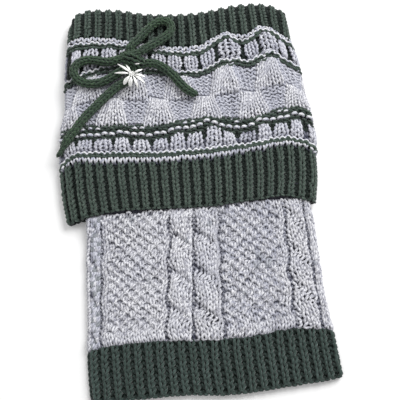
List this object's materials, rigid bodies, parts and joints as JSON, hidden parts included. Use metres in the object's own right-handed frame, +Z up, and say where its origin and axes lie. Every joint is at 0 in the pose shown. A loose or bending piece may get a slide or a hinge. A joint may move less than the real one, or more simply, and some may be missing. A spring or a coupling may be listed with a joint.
{
  "type": "knitted calf warmer",
  "caption": "Chunky hand-knitted calf warmer lying flat, with ribbed ends, a patterned cuff turned down over a cabled leg, and a knitted cord bow with a metal flower charm.",
  "frame": {"origin": "under the middle of the cloth's outline, on the surface it lies on", "axes": "+X across the garment to the right as seen from above, +Y along it from the hem to the fold at the top, +Z up off the surface"},
  "size_m": [0.199, 0.3022, 0.0237],
  "materials": {
    "green_wool": "matte wool yarn",
    "grey_marl_wool": "matte marled wool yarn",
    "grey_and_green_wool": "matte wool yarn in two colours",
    "green_cord_wool": "matte wool yarn",
    "matte_silver": "matte cast metal"
  },
  "bodies": {
    "root": {"hem_rib": "green_wool", "leg_tube": "grey_marl_wool", "inner_leg": "grey_marl_wool", "cuff_rib": "green_wool", "lower_box_band": "grey_and_green_wool", "basketweave_band": "grey_marl_wool", "upper_box_band": "grey_and_green_wool", "top_rib": "green_wool", "bow_knot": "green_cord_wool", "bow_left_loop": "green_cord_wool", "bow_right_loop": "green_cord_wool", "bow_left_tail": "green_cord_wool", "bow_right_tail": "green_cord_wool", "charm_flower": "matte_silver", "charm_ring": "matte_silver"}
  },
  "joints": []
}
